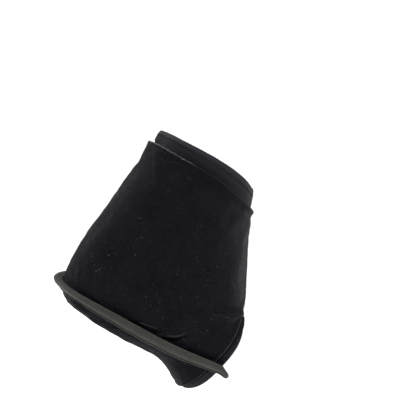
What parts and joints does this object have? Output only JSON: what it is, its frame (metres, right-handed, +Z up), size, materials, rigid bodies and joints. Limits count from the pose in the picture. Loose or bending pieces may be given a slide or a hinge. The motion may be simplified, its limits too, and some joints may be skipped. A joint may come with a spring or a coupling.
{
  "type": "cold compression ankle wrap",
  "caption": "Soft black boot-shaped cold compression wrap for an ankle and heel, with pockets for cold packs, a side flap and an elastic heel band.",
  "frame": {"origin": "on the floor, in the middle of the wrap's outline", "axes": "+Z up the leg, +X towards the toes, -Y the medial side (the side with no flap)"},
  "size_m": [0.1923, 0.1084, 0.1987],
  "materials": {
    "shell_cloth": "matte brushed loop cloth, near black with a faint violet cast",
    "liner_cloth": "matte stretch knit, near black",
    "binding": "matte folded stretch tape, black",
    "sole_patch": "matte dense cloth, black",
    "foam": "open-cell foam laminate, grey",
    "label": "plain woven tape, off-white, blank",
    "loop_tape": "matte loop pile, black",
    "hook_tape": "moulded hook tape, black",
    "band_elastic": "matte ribbed elastic, dark grey-olive",
    "thread": "matte thread, black",
    "pack_film": "glossy welded film, blue",
    "gel": "glossy film over gel, blue"
  },
  "bodies": {
    "wrap": {"shell_medial": "shell_cloth", "shell_lateral": "shell_cloth", "liner_medial": "liner_cloth", "liner_lateral": "liner_cloth", "cuff_binding": "binding", "foot_binding": "binding", "heel_cushion": "foam", "insulation_medial": "foam", "insulation_lateral": "foam", "rear_seam_tape": "binding", "front_seam_tape": "binding", "sole_pad": "sole_patch", "care_label": "label", "loop_patch": "loop_tape", "front_binding": "binding", "band_tab_medial": "band_elastic", "band_tab_lateral": "band_elastic"},
    "heel_band": {"heel_band": "band_elastic", "bartack_medial": "thread", "bartack_lateral": "thread"},
    "closure_flap": {"closure_flap": "shell_cloth", "hook_strip": "hook_tape"},
    "pack_medial": {"pack_film_medial": "pack_film", "pack_cells_medial": "gel"},
    "pack_lateral": {"pack_film_lateral": "pack_film", "pack_cells_lateral": "gel"}
  },
  "joints": [
    {"name": "band_swing", "type": "hinge", "parent": "wrap", "child": "heel_band", "pos_m": [0.084, 0, 0.0402], "axis": [0, -1, 0], "range_deg": [0, 100]},
    {"name": "flap_open", "type": "hinge", "parent": "wrap", "child": "closure_flap", "pos_m": [0.0589, 0.005, 0.1291], "axis": [0.5262, 0, -0.8504], "range_deg": [0, 110]},
    {"name": "pack_medial_slide", "type": "slide", "parent": "wrap", "child": "pack_medial", "axis": [-0.0436, 0, 0.999], "range_m": [0, 0.13]},
    {"name": "pack_lateral_slide", "type": "slide", "parent": "wrap", "child": "pack_lateral", "axis": [-0.0436, 0, 0.999], "range_m": [0, 0.13]}
  ]
}
